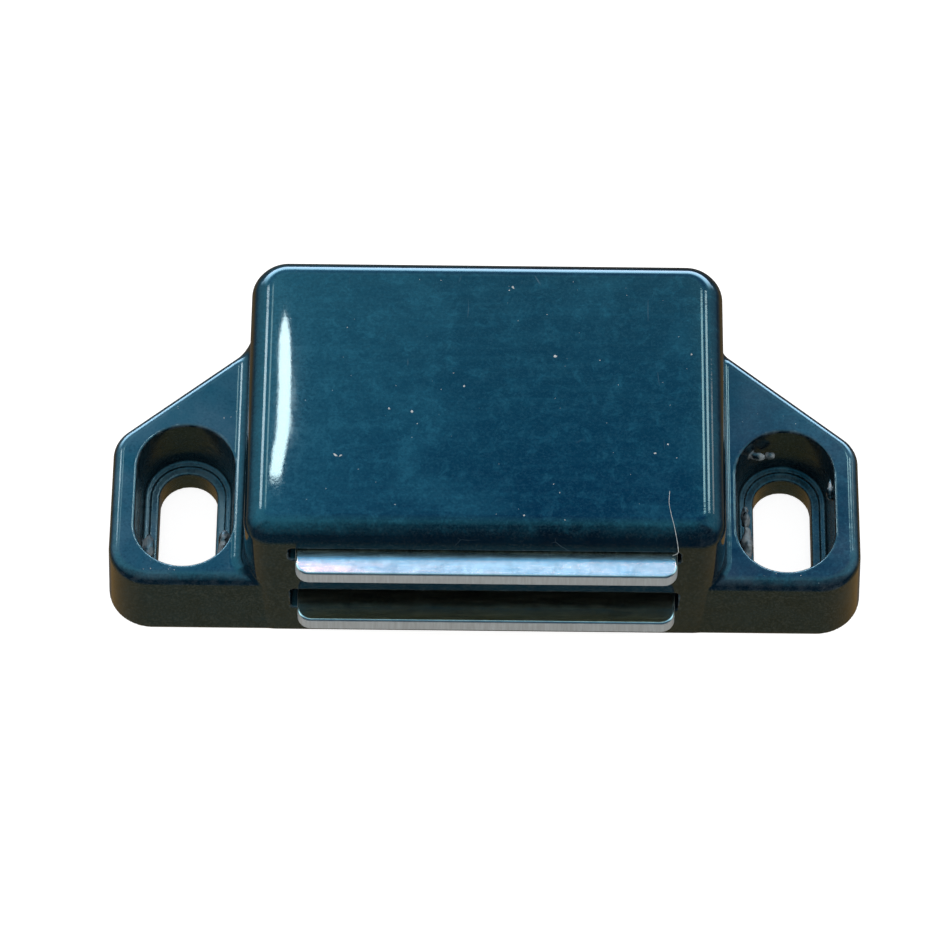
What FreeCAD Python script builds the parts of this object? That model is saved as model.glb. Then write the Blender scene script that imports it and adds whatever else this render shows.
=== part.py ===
import FreeCAD, Part
import math
import os
import Sketcher

# Magnetic door catch, millimetres.
# X runs along the length, Y from the pole noses (front, -Y) to the rear, Z up from the
# mounting face.  Every body is modelled with Y = 0 at the front wall and then placed so
# that the origin is at the bottom centre of the bounding box.

os.makedirs("parts", exist_ok=True)
doc = FreeCAD.newDocument("magnetic_door_catch")

# ---------------------------------------------------------------- driving dimensions
CELLS = [
    # case
    ("case_length", 60.0, "overall length over the ears, at the mounting face"),
    ("case_height", 14.5, "mounting face to top of cap"),
    ("flange_height", 7.0, "height of the ears"),
    ("flange_straight", 13.6, "length of the ears' straight end faces"),
    ("flange_reach", 23.8, "depth at which the slanted rear edge meets the cap side"),
    ("flange_corner_front", 3.6, "plan radius, front corners"),
    ("flange_corner_rear", 3.2, "plan radius, rear corners of the ears"),
    ("flange_edge_round", 0.9, "top edge of the ears"),
    ("cap_width", 37.9, "cap width at the mounting face"),
    ("cap_depth", 26.35, "front wall to rear wall at the mounting face"),
    ("cap_proud", 0.05, "the cap's front stands this far in front of the ears"),
    ("cap_corner_front", 2.4, "vertical corner radius, front"),
    ("cap_corner_rear", 3.0, "vertical corner radius, rear"),
    ("cap_edge_round", 1.8, "top edge of the cap"),
    ("foot_round", 0.6, "hollow radius where the cap meets the ears"),
    ("ear_draft", 2.5, "moulding draft of the ears"),
    ("cap_draft", 0.6, "moulding draft of the cap"),
    # cavity
    ("wall_front", 1.75, "front wall"),
    ("wall_side", 1.85, "side walls at the mounting face"),
    ("wall_rear", 2.25, "rear wall at the mounting face"),
    ("roof_under", 12.3, "height of the cavity roof"),
    ("cavity_corner", 1.0, "cavity corner radius"),
    ("cover_recess", 0.6, "step all round that seats the base cover"),
    # windows
    ("window_width", 30.6, "both windows"),
    ("upper_window_low", 10.55, "sill of the upper window"),
    ("upper_window_high", 12.1, "head of the upper window"),
    ("lower_window_low", 3.45, "sill of the lower window"),
    ("lower_window_high", 6.1, "head of the lower window"),
    ("window_corner", 0.4, "window corner radius"),
    # screw slots
    ("slot_pitch", 47.7, "slot centre to slot centre, along X"),
    ("slot_mid", 8.15, "slot centre from the front wall"),
    ("slot_width", 4.65, "through slot"),
    ("slot_run", 5.3, "centre to centre of the slot's end arcs, along Y"),
    ("head_width", 7.75, "counterbore for the screw head, at the top"),
    ("head_draft", 4.5, "its wall narrows this much towards the floor"),
    ("slot_floor", 2.3, "plastic left under the screw head"),
    ("rim_round", 0.2, "rim of the counterbore"),
    # cores under the ears
    ("core_height", 5.2, "height of the core pockets"),
    ("core_front", 16.4, "front edge of the core pockets"),
    ("core_wide", 4.6, "width of a core pocket"),
    ("core_deep", 3.9, "depth of a core pocket"),
    ("core_corner", 0.4, "corner radius of the core pockets"),
    # snap pockets of the base cover
    ("snap_low", 1.75, "lower edge of the snap pockets"),
    ("snap_high", 2.75, "upper edge of the snap pockets"),
    ("snap_bite", 0.45, "depth of the snap pockets into the side walls"),
    ("snap_width", 3.2, "width of a snap pocket"),
    ("snap_front", 6.5, "middle of the front snap pockets"),
    ("snap_rear", 18.5, "middle of the rear snap pockets"),
    # base cover
    ("cover_thick", 1.6, "cover plate"),
    ("cover_gap", 0.1, "gap between cover and recess"),
    ("rib_top", 3.55, "top of the ribs that carry the lower pole plate"),
    ("rib_wide", 1.2, "rib width"),
    ("rib_out", 12.0, "outer ribs from the middle"),
    ("rib_in", 4.5, "inner ribs from the middle"),
    ("stop_face", 20.5, "face of the rear stops"),
    ("stop_thick", 1.6, "thickness of the rear stops"),
    ("stop_wide", 4.0, "width of a rear stop"),
    ("stop_off", 9.0, "rear stops from the middle"),
    ("stop_top", 11.8, "top of the rear stops"),
    ("gusset_foot", 1.7, "foot of the gusset behind a stop"),
    # pole plates
    ("plate_thick", 1.25, "both pole plates"),
    ("nose_width", 29.75, "width through the window"),
    ("nose_reach", 2.1, "nose in front of the front wall"),
    ("nose_corner", 1.1, "plan radius of the nose corners"),
    ("shoulder_width", 32.6, "width behind the windows"),
    ("shoulder_front", 2.2, "front of the shoulders"),
    ("plate_rear", 20.0, "rear edge of the plates"),
    ("plate_roll", 0.22, "rolled upper edge left by blanking"),
    ("lower_plate_z", 3.7, "underside of the lower plate"),
    # magnet
    ("magnet_width", 26.0, "ferrite block, X"),
    ("magnet_depth", 16.0, "ferrite block, Y"),
    ("magnet_thick", 5.8, "ferrite block, Z"),
    ("magnet_front", 3.1, "front face of the block"),
    ("magnet_edge", 0.4, "chamfer"),
    # how the pack lies in its windows
    ("pack_shift", 0.15, "the pack lies this far to +X at rest"),
]
sheet = doc.addObject("Spreadsheet::Sheet", "Params")
P = {}
for i, (alias, value, note) in enumerate(CELLS, start=1):
    sheet.set("A%d" % i, alias)
    sheet.set("B%d" % i, "%g" % value)
    sheet.set("C%d" % i, note)
    sheet.setAlias("B%d" % i, alias)
    P[alias] = value
doc.recompute()


def num(expression):
    """First guess of a sketch coordinate: every alias replaced by its cell's value."""
    text = expression
    for name in sorted(P, key=len, reverse=True):
        text = text.replace("Params." + name, "(%r)" % P[name])
    result = sheet.evalExpression(text)
    return float(result)


def plane(body, role):
    for feature in body.Origin.OriginFeatures:
        if feature.Role == role:
            return feature
    raise RuntimeError("no origin plane " + role)


def new_body(label):
    body = doc.addObject("PartDesign::Body", label)
    body.Label = label
    doc.recompute()
    return body


def new_sketch(body, name, role, offset=None):
    sketch = body.newObject("Sketcher::SketchObject", name)
    sketch.AttachmentSupport = [(plane(body, role), "")]
    sketch.MapMode = "FlatFace"
    if offset:
        sketch.setExpression("AttachmentOffset.Base.z", offset)
    return sketch


def loop(sketch, points):
    """Closed polygon; each corner is tied to the origin by two distances from the sheet."""
    xy = [(num(a), num(b)) for a, b in points]
    first = sketch.GeometryCount
    n = len(xy)
    for i in range(n):
        a, b = xy[i], xy[(i + 1) % n]
        sketch.addGeometry(
            Part.LineSegment(
                FreeCAD.Vector(a[0], a[1], 0), FreeCAD.Vector(b[0], b[1], 0)
            ),
            False,
        )
    for i in range(n):
        sketch.addConstraint(
            Sketcher.Constraint("Coincident", first + i, 2, first + (i + 1) % n, 1)
        )
    for i, (ex, ey) in enumerate(points):
        for kind, e, v in (("DistanceX", ex, xy[i][0]), ("DistanceY", ey, xy[i][1])):
            k = sketch.addConstraint(
                Sketcher.Constraint(kind, -1, 1, first + i, 1, v)
            )
            sketch.setExpression("Constraints[%d]" % k, e)


def rounded_loop(sketch, points, radii):
    """Closed polygon of construction lines tied to the sheet, with the outline drawn along it
    and a tangent arc of the given radius at each corner."""
    n = len(points)
    first = sketch.GeometryCount
    loop(sketch, points)
    for i in range(n):
        sketch.toggleConstruction(first + i)
    corner = [FreeCAD.Vector(num(a), num(b), 0) for a, b in points]
    rad = [num(r) for r in radii]
    cut = []
    for i in range(n):
        to_prev = (corner[i - 1] - corner[i]).normalize()
        to_next = (corner[(i + 1) % n] - corner[i]).normalize()
        angle = to_prev.getAngle(to_next)
        reach = rad[i] / math.tan(angle / 2)
        middle = (to_prev + to_next).normalize()
        centre = corner[i] + middle * (rad[i] / math.sin(angle / 2))
        cut.append((corner[i] + to_prev * reach, corner[i] + to_next * reach, centre))
    lines, arcs, hollow = [], [], []
    for i in range(n):
        lines.append(
            sketch.addGeometry(Part.LineSegment(cut[i][1], cut[(i + 1) % n][0]), False)
        )
    for i in range(n):
        a, b, c = cut[i]
        back = (corner[i] - corner[i - 1]).cross(corner[(i + 1) % n] - corner[i]).z < 0
        hollow.append(back)
        if back:
            a, b = b, a
        t0 = math.atan2(a.y - c.y, a.x - c.x)
        t1 = math.atan2(b.y - c.y, b.x - c.x)
        while t1 < t0:
            t1 += 2 * math.pi
        circle = Part.Circle(c, FreeCAD.Vector(0, 0, 1), rad[i])
        arcs.append(sketch.addGeometry(Part.ArcOfCircle(circle, t0, t1), False))
    for i in range(n):
        sketch.addConstraint(Sketcher.Constraint("PointOnObject", lines[i], 1, first + i))
        sketch.addConstraint(Sketcher.Constraint("PointOnObject", lines[i], 2, first + i))
        start, end = (2, 1) if hollow[i] else (1, 2)
        sketch.addConstraint(Sketcher.Constraint("Tangent", lines[i - 1], 2, arcs[i], start))
        sketch.addConstraint(Sketcher.Constraint("Tangent", arcs[i], end, lines[i], 1))
        k = sketch.addConstraint(Sketcher.Constraint("Radius", arcs[i], rad[i]))
        sketch.setExpression("Constraints[%d]" % k, radii[i])


def box_points(x0, x1, y0, y1):
    return [(x0, y0), (x1, y0), (x1, y1), (x0, y1)]


def rectangle(sketch, x0, x1, y0, y1):
    loop(sketch, box_points(x0, x1, y0, y1))


def stadium(sketch, cx, cy, run, radius):
    """Slot along the sketch's y: two half circles and two lines."""
    x, y, r, d = num(cx), num(cy), num(radius), num(run) / 2
    g = sketch.GeometryCount
    z = FreeCAD.Vector(0, 0, 1)
    sketch.addGeometry(
        Part.ArcOfCircle(Part.Circle(FreeCAD.Vector(x, y + d, 0), z, r), 0, math.pi),
        False,
    )
    sketch.addGeometry(
        Part.LineSegment(
            FreeCAD.Vector(x - r, y + d, 0), FreeCAD.Vector(x - r, y - d, 0)
        ),
        False,
    )
    sketch.addGeometry(
        Part.ArcOfCircle(
            Part.Circle(FreeCAD.Vector(x, y - d, 0), z, r), math.pi, 2 * math.pi
        ),
        False,
    )
    sketch.addGeometry(
        Part.LineSegment(
            FreeCAD.Vector(x + r, y - d, 0), FreeCAD.Vector(x + r, y + d, 0)
        ),
        False,
    )
    for a, pa, b, pb in ((0, 2, 1, 1), (1, 2, 2, 1), (2, 2, 3, 1), (3, 2, 0, 1)):
        sketch.addConstraint(Sketcher.Constraint("Tangent", g + a, pa, g + b, pb))
    sketch.addConstraint(Sketcher.Constraint("Equal", g, g + 2))
    k = sketch.addConstraint(Sketcher.Constraint("Radius", g, r))
    sketch.setExpression("Constraints[%d]" % k, radius)
    for geo, ey in ((g, "(%s) + (%s) / 2" % (cy, run)), (g + 2, "(%s) - (%s) / 2" % (cy, run))):
        k = sketch.addConstraint(
            Sketcher.Constraint("DistanceX", -1, 1, geo, 3, x)
        )
        sketch.setExpression("Constraints[%d]" % k, cx)
        k = sketch.addConstraint(
            Sketcher.Constraint("DistanceY", -1, 1, geo, 3, num(ey))
        )
        sketch.setExpression("Constraints[%d]" % k, ey)


def pad(body, name, sketch, length, reversed_=False, taper=None):
    doc.recompute()
    feature = body.newObject("PartDesign::Pad", name)
    feature.Profile = sketch
    feature.setExpression("Length", length)
    feature.Reversed = reversed_
    if taper:
        feature.setExpression("TaperAngle", taper)
    doc.recompute()
    return feature


def pocket(body, name, sketch, length, reversed_=False, midplane=False, taper=None):
    before = body.Shape.Volume
    feature = body.newObject("PartDesign::Pocket", name)
    feature.Profile = sketch
    feature.setExpression("Length", length)
    feature.Reversed = reversed_
    if midplane:
        feature.SideType = "Symmetric"
    if taper:
        feature.setExpression("TaperAngle", taper)
    doc.recompute()
    if body.Shape.Volume > before - 1e-3:
        raise RuntimeError(name + " cuts nothing")
    return feature


def edges(feature, test):
    """Names of the edges whose midpoint, direction and length pass the test."""
    found = []
    for i, e in enumerate(feature.Shape.Edges, start=1):
        a, b = e.ParameterRange
        mid = e.valueAt((a + b) / 2)
        if test(mid, e):
            found.append("Edge%d" % i)
    return found


def dress(body, kind, name, base, names, cell, size):
    feature = body.newObject("PartDesign::" + kind, name)
    feature.Base = (base, names)
    feature.setExpression(size, cell)
    doc.recompute()
    return feature


def upright(e):
    a, b = e.Vertexes[0].Point, e.Vertexes[-1].Point
    return len(e.Vertexes) == 2 and abs(a.z - b.z) > 0.9 * e.Length and e.Length > 0.5


S = "Params."
X0 = "0 mm"
# ---------------------------------------------------------------- housing
housing = new_body("housing")

sk = new_sketch(housing, "flange_plan", "XY_Plane")
rounded_loop(
    sk,
    [
        ("-Params.case_length / 2", "0"),
        ("Params.case_length / 2", "0"),
        ("Params.case_length / 2", "Params.flange_straight"),
        ("Params.cap_width / 2 - 1", "Params.flange_reach"),
        ("1 - Params.cap_width / 2", "Params.flange_reach"),
        ("-Params.case_length / 2", "Params.flange_straight"),
    ],
    [S + "flange_corner_front"] * 2 + [S + "flange_corner_rear"] + ["1"] * 2 + [S + "flange_corner_rear"],
)
flange = pad(housing, "flange", sk, S + "flange_height", taper="-Params.ear_draft")
f3 = dress(
    housing, "Fillet", "flange_top_edge", flange,
    edges(flange, lambda m, e: abs(m.z - P["flange_height"]) < 1e-3 and m.y < P["flange_reach"] - 1),
    S + "flange_edge_round", "Radius",
)
sk = new_sketch(housing, "cap_plan", "XY_Plane")
rounded_loop(
    sk,
    box_points(
        "-Params.cap_width / 2", "Params.cap_width / 2", "-Params.cap_proud", S + "cap_depth"
    ),
    [S + "cap_corner_front"] * 2 + [S + "cap_corner_rear"] * 2,
)
capf = pad(housing, "cap", sk, S + "case_height", taper="-Params.cap_draft")
f6 = dress(
    housing, "Fillet", "cap_top_edge", capf,
    edges(capf, lambda m, e: abs(m.z - P["case_height"]) < 1e-3),
    S + "cap_edge_round", "Radius",
)
foot = edges(
    f6,
    lambda m, e: abs(m.z - P["flange_height"]) < 1e-3
    and abs(m.x) < P["cap_width"] / 2
    and e.Curve.TypeId == "Part::GeomLine"
    and e.Length > 5,
)
f7 = dress(housing, "Fillet", "foot", f6, foot, S + "foot_round", "Radius")

# screw slots
sk = new_sketch(housing, "head_plan", "XY_Plane", S + "slot_floor")
for side in ("-", ""):
    stadium(
        sk, side + "Params.slot_pitch / 2", S + "slot_mid", S + "slot_run",
        "Params.head_width / 2 - (Params.flange_height - Params.slot_floor) * tan(Params.head_draft)",
    )
heads = pocket(
    housing, "screw_head_recesses", sk, S + "flange_height", reversed_=True, taper=S + "head_draft"
)
sk = new_sketch(housing, "slot_plan", "XY_Plane")
for side in ("-", ""):
    stadium(sk, side + "Params.slot_pitch / 2", S + "slot_mid", S + "slot_run", "Params.slot_width / 2")
slots = pocket(housing, "screw_slots", sk, S + "flange_height", reversed_=True)
rims = dress(
    housing, "Fillet", "recess_rims", slots,
    edges(
        slots,
        lambda m, e: abs(m.z - P["flange_height"]) < 1e-3
        and abs(abs(m.x) - P["slot_pitch"] / 2) < P["head_width"] / 2 + 0.01
        and abs(m.y - P["slot_mid"]) < (P["head_width"] + P["slot_run"]) / 2 + 0.01,
    ),
    S + "rim_round", "Radius",
)

# cavity, seat of the cover, windows
inner_x = "(Params.cap_width / 2 - Params.wall_side)"
sk = new_sketch(housing, "cavity_plan", "XY_Plane")
rounded_loop(
    sk,
    box_points("-" + inner_x, inner_x, S + "wall_front", "Params.cap_depth - Params.wall_rear"),
    [S + "cavity_corner"] * 4,
)
cavity = pocket(housing, "cavity", sk, S + "roof_under", reversed_=True)
seat_x = "(Params.cap_width / 2 - Params.wall_side + Params.cover_recess)"
seat_y0 = "Params.wall_front - Params.cover_recess"
seat_y1 = "Params.cap_depth - Params.wall_rear + Params.cover_recess"
sk = new_sketch(housing, "seat_plan", "XY_Plane")
rounded_loop(
    sk, box_points("-" + seat_x, seat_x, seat_y0, seat_y1), [S + "cavity_corner"] * 4
)
seat = pocket(housing, "cover_seat", sk, S + "cover_thick", reversed_=True)
sk = new_sketch(housing, "window_plan", "XZ_Plane", S + "nose_reach")
for low, high in (("lower_window_low", "lower_window_high"), ("upper_window_low", "upper_window_high")):
    rounded_loop(
        sk,
        box_points("-Params.window_width / 2", "Params.window_width / 2", S + low, S + high),
        [S + "window_corner"] * 4,
    )
windows = pocket(housing, "windows", sk, "Params.nose_reach + Params.wall_front + 0.6")

# snap pockets in the side walls and core pockets under the ears
sk = new_sketch(housing, "snap_plan", "YZ_Plane")
for mid in ("snap_front", "snap_rear"):
    rectangle(
        sk,
        "Params.%s - Params.snap_width / 2" % mid,
        "Params.%s + Params.snap_width / 2" % mid,
        S + "snap_low",
        S + "snap_high",
    )
snaps = pocket(
    housing, "snap_pockets", sk,
    "Params.cap_width - 2 * Params.wall_side + 2 * Params.snap_bite", midplane=True,
)
sk = new_sketch(housing, "core_plan", "XY_Plane")
core = [
    ("Params.cap_width / 2 + 0.7", "Params.core_front"),
    ("Params.cap_width / 2 + 0.7 + Params.core_wide", "Params.core_front"),
    ("Params.cap_width / 2 + 0.7", "Params.core_front + Params.core_deep"),
]
loop(sk, core)
loop(sk, [("-(%s)" % x, y) for x, y in reversed(core)])
cores = pocket(housing, "ear_cores", sk, S + "core_height", reversed_=True)
rounded = dress(
    housing, "Fillet", "core_corners", cores,
    edges(
        cores,
        lambda m, e: upright(e)
        and P["core_front"] - 0.1 < m.y < P["core_front"] + P["core_deep"] + 0.1
        and P["cap_width"] / 2 + 0.5 < abs(m.x) < P["cap_width"] / 2 + 1 + P["core_wide"]
        and m.z < P["core_height"],
    ),
    S + "core_corner", "Radius",
)

# ---------------------------------------------------------------- base cover
cover = new_body("base_cover")
sk = new_sketch(cover, "cover_plan", "XY_Plane")
cx = "(%s - Params.cover_gap)" % seat_x
rounded_loop(
    sk,
    box_points("-" + cx, cx, seat_y0 + " + Params.cover_gap", seat_y1 + " - Params.cover_gap"),
    [S + "cavity_corner"] * 4,
)
plate = pad(cover, "cover_plate", sk, S + "cover_thick")
sk = new_sketch(cover, "rib_plan", "XY_Plane", S + "cover_thick")
for side in ("-", ""):
    for off in ("rib_out", "rib_in"):
        mid = "%sParams.%s" % (side, off)
        rectangle(
            sk, mid + " - Params.rib_wide / 2", mid + " + Params.rib_wide / 2",
            "Params.wall_front + 1.2", "Params.plate_rear - 0.6",
        )
ribs = pad(cover, "ribs", sk, "Params.rib_top - Params.cover_thick")
sk = new_sketch(cover, "stop_plan", "XY_Plane", S + "cover_thick")
for side in ("-", ""):
    mid = "%sParams.stop_off" % side
    rectangle(
        sk, mid + " - Params.stop_wide / 2", mid + " + Params.stop_wide / 2",
        S + "stop_face", "Params.stop_face + Params.stop_thick",
    )
stops = pad(cover, "rear_stops", sk, "Params.stop_top - Params.cover_thick")
for side, tag in (("-", "left"), ("", "right")):
    sk = new_sketch(cover, "gusset_" + tag, "YZ_Plane", "%sParams.stop_off" % side)
    y = "Params.stop_face + Params.stop_thick"
    loop(
        sk,
        [
            (y + " - 0.2", S + "cover_thick"),
            (y + " + Params.gusset_foot", S + "cover_thick"),
            (y + " - 0.2", "Params.stop_top - 1.2"),
        ],
    )
    doc.recompute()
    g = cover.newObject("PartDesign::Pad", "stop_gusset_" + tag)
    g.Profile = sk
    g.setExpression("Length", S + "rib_wide")
    g.SideType = "Symmetric"
    doc.recompute()
wall_x = inner_x
for mid, tag in (("snap_front", "front"), ("snap_rear", "rear")):
    sk = new_sketch(cover, "snap_" + tag, "XZ_Plane", "-Params.%s" % mid)
    lug = [
        (wall_x + " - 1.1", S + "cover_thick"),
        (wall_x + " - 0.1", S + "cover_thick"),
        (wall_x + " - 0.1", "Params.snap_low + 0.1"),
        (wall_x + " + Params.snap_bite - 0.1", "Params.snap_low + 0.25"),
        (wall_x + " + Params.snap_bite - 0.1", "Params.snap_low + 0.45"),
        (wall_x + " - 0.1", "Params.snap_high - 0.1"),
        (wall_x + " - 1.1", "Params.snap_high - 0.1"),
    ]
    loop(sk, lug)
    loop(sk, [("-(%s)" % a, b) for a, b in reversed(lug)])
    doc.recompute()
    g = cover.newObject("PartDesign::Pad", "snap_lugs_" + tag)
    g.Profile = sk
    g.setExpression("Length", "Params.snap_width - 0.4")
    g.SideType = "Symmetric"
    doc.recompute()

# ---------------------------------------------------------------- pole plates
upper_z = "Params.lower_plate_z + Params.plate_thick + Params.magnet_thick"


def pole_plate(label, height):
    body = new_body(label)
    sk = new_sketch(body, label + "_plan", "XY_Plane", height)
    n, w = "Params.nose_width / 2", "Params.shoulder_width / 2"
    rounded_loop(
        sk,
        [
            ("-" + n, "-Params.nose_reach"),
            (n, "-Params.nose_reach"),
            (n, S + "shoulder_front"),
            (w, S + "shoulder_front"),
            (w, S + "plate_rear"),
            ("-" + w, S + "plate_rear"),
            ("-" + w, S + "shoulder_front"),
            ("-" + n, S + "shoulder_front"),
        ],
        [S + "nose_corner"] * 2 + ["0.3", "0.6", "0.6", "0.6", "0.6", "0.3"],
    )
    blank = pad(body, label + "_blank", sk, S + "plate_thick")
    z = num(height) + P["plate_thick"]
    dress(
        body, "Fillet", label + "_roll", blank,
        edges(blank, lambda m, e: abs(m.z - z) < 1e-3), S + "plate_roll", "Radius",
    )
    return body


lower = pole_plate("lower_pole_plate", S + "lower_plate_z")
upper = pole_plate("upper_pole_plate", upper_z)

# ---------------------------------------------------------------- magnet
magnet = new_body("magnet_block")
sk = new_sketch(magnet, "magnet_plan", "XY_Plane", "Params.lower_plate_z + Params.plate_thick")
rectangle(
    sk, "-Params.magnet_width / 2", "Params.magnet_width / 2",
    S + "magnet_front", "Params.magnet_front + Params.magnet_depth",
)
block = pad(magnet, "ferrite", sk, S + "magnet_thick")
dress(
    magnet, "Chamfer", "ferrite_edges", block,
    edges(block, lambda m, e: True), S + "magnet_edge", "Size",
)

# ---------------------------------------------------------------- placing
for body in (housing, cover, lower, upper, magnet):
    body.setExpression("Placement.Base.y", "(Params.nose_reach - Params.cap_depth) / 2")
for body in (lower, upper, magnet):
    body.setExpression("Placement.Base.x", S + "pack_shift")
doc.recompute()

# ---------------------------------------------------------------- checks and export
for o in doc.Objects:
    if any(word in o.State for word in ("Invalid", "Error")):
        raise RuntimeError("%s is %s" % (o.Name, o.State))
bodies = [o for o in doc.Objects if o.TypeId == "PartDesign::Body"]
for body in bodies:
    shape = body.Shape
    if shape.isNull() or not shape.isValid() or len(shape.Solids) != 1:
        raise RuntimeError(body.Label + " has no single valid solid")
for body in bodies:
    body.Shape.exportStep("parts/%s.step" % body.Label)
    b = body.Shape.optimalBoundingBox(False)
    print(
        "%-18s %9.2f mm3  x %.2f..%.2f  y %.2f..%.2f  z %.2f..%.2f"
        % (body.Label, body.Shape.Volume, b.XMin, b.XMax, b.YMin, b.YMax, b.ZMin, b.ZMax)
    )
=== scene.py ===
import math

import bpy
import numpy as np
from mathutils import Matrix, Vector

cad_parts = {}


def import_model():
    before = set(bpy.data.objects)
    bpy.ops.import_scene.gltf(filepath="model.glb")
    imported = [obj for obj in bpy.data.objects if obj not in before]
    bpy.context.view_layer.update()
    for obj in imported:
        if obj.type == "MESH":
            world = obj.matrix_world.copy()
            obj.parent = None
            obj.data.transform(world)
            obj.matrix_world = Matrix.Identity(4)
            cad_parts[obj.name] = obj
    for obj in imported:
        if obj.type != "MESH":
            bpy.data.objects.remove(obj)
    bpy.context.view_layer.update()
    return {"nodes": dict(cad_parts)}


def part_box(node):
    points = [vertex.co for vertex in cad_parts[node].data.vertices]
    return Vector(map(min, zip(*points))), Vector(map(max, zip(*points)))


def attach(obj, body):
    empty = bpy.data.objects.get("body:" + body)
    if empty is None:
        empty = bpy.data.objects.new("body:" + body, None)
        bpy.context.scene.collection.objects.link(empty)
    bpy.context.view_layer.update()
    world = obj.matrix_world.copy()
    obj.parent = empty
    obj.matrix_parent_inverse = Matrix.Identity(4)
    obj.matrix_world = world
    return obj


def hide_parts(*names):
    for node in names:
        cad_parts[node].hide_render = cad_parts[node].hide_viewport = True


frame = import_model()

MM = 0.001
NODES = frame["nodes"]
LO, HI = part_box("housing")
FRONT = LO.y  # the ears' front face
TOP = HI.z

scene = bpy.context.scene
scene.view_settings.view_transform = "Standard"
scene.view_settings.look = "None"

# ------------------------------------------------------------------ camera
cam_data = bpy.data.cameras.new("camera")
cam = bpy.data.objects.new("camera", cam_data)
scene.collection.objects.link(cam)
cam_data.sensor_width = 36.0
cam_data.lens = 204.417
cam_data.clip_start = 0.01
cam_data.clip_end = 20.0
rot = Matrix((
    (0.99994359, -0.01044384, 0.00193327),
    (0.00987071, 0.84655065, -0.53221665),
    (0.00392177, 0.53220571, 0.84660599),
))
cam.matrix_world = Matrix.Translation((0.0, -0.2303665, 0.3705005)) @ rot.to_4x4()
scene.camera = cam


# ------------------------------------------------------------------ node helpers
class Net:
    """Small wrapper round a node tree, so that materials read top to bottom."""

    def __init__(self, tree):
        self.t = tree
        tree.nodes.clear()

    def add(self, kind, **values):
        n = self.t.nodes.new(kind)
        for key, val in values.items():
            if hasattr(n, key) and not key[0].isupper():
                setattr(n, key, val)
            else:
                self.put(n.inputs[key.replace("_", " ")], val)
        return n

    def put(self, socket, val):
        if isinstance(val, bpy.types.NodeSocket):
            self.t.links.new(val, socket)
        elif val is not None:
            socket.default_value = val

    def math(self, op, a, b=None, c=None, clamp=False):
        n = self.t.nodes.new("ShaderNodeMath")
        n.operation = op
        n.use_clamp = clamp
        for s, v in zip(n.inputs, (a, b, c)):
            self.put(s, v)
        return n.outputs[0]

    def vmath(self, op, a, b=None, scale=None):
        n = self.t.nodes.new("ShaderNodeVectorMath")
        n.operation = op
        self.put(n.inputs[0], a)
        if b is not None:
            self.put(n.inputs[1], b)
        if scale is not None:
            self.put(n.inputs["Scale"], scale)
        return n.outputs["Value"] if op in ("DOT_PRODUCT", "LENGTH", "DISTANCE") else n.outputs[0]

    def xyz(self, v):
        n = self.t.nodes.new("ShaderNodeSeparateXYZ")
        self.put(n.inputs[0], v)
        return n.outputs

    def ramp(self, fac, *stops, interpolation="LINEAR"):
        n = self.t.nodes.new("ShaderNodeValToRGB")
        self.put(n.inputs[0], fac)
        cr = n.color_ramp
        cr.interpolation = interpolation
        while len(cr.elements) < len(stops):
            cr.elements.new(0.5)
        for e, (pos, col) in zip(cr.elements, stops):
            e.position = pos
            e.color = (col, col, col, 1) if isinstance(col, (int, float)) else (*col, 1)
        return n.outputs[0]

    def range(self, v, a, b, c=0.0, d=1.0, kind="LINEAR"):
        n = self.t.nodes.new("ShaderNodeMapRange")
        n.interpolation_type = kind
        for s, x in zip(n.inputs, (v, a, b, c, d)):
            self.put(s, x)
        return n.outputs[0]

    def mix(self, fac, a, b, blend="MIX"):
        n = self.t.nodes.new("ShaderNodeMix")
        n.data_type = "RGBA"
        n.blend_type = blend
        self.put(n.inputs[0], fac)
        self.put(n.inputs[6], (*a, 1) if isinstance(a, tuple) else a)
        self.put(n.inputs[7], (*b, 1) if isinstance(b, tuple) else b)
        return n.outputs[2]

    def lerp(self, fac, a, b):
        n = self.t.nodes.new("ShaderNodeMix")
        n.data_type = "FLOAT"
        self.put(n.inputs[0], fac)
        self.put(n.inputs[2], a)
        self.put(n.inputs[3], b)
        return n.outputs[0]

    def noise(self, vec, scale, detail=2.0, rough=0.5, dist=0.0, out=0):
        n = self.t.nodes.new("ShaderNodeTexNoise")
        self.put(n.inputs["Vector"], vec)
        n.inputs["Scale"].default_value = scale
        n.inputs["Detail"].default_value = detail
        n.inputs["Roughness"].default_value = rough
        n.inputs["Distortion"].default_value = dist
        return n.outputs[out]

    def voronoi(self, vec, scale, feature="F1", out="Distance", randomness=1.0):
        n = self.t.nodes.new("ShaderNodeTexVoronoi")
        n.feature = feature
        self.put(n.inputs["Vector"], vec)
        n.inputs["Scale"].default_value = scale
        n.inputs["Randomness"].default_value = randomness
        return n.outputs[out]

    def mapping(self, vec, scale=(1, 1, 1), rotation=(0, 0, 0), location=(0, 0, 0)):
        n = self.t.nodes.new("ShaderNodeMapping")
        self.put(n.inputs["Vector"], vec)
        n.inputs["Scale"].default_value = scale
        n.inputs["Rotation"].default_value = rotation
        n.inputs["Location"].default_value = location
        return n.outputs[0]

    def bump(self, height, distance, strength=1.0, normal=None):
        n = self.t.nodes.new("ShaderNodeBump")
        n.inputs["Strength"].default_value = strength
        n.inputs["Distance"].default_value = distance
        self.put(n.inputs["Height"], height)
        if normal is not None:
            self.put(n.inputs["Normal"], normal)
        return n.outputs[0]


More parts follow.
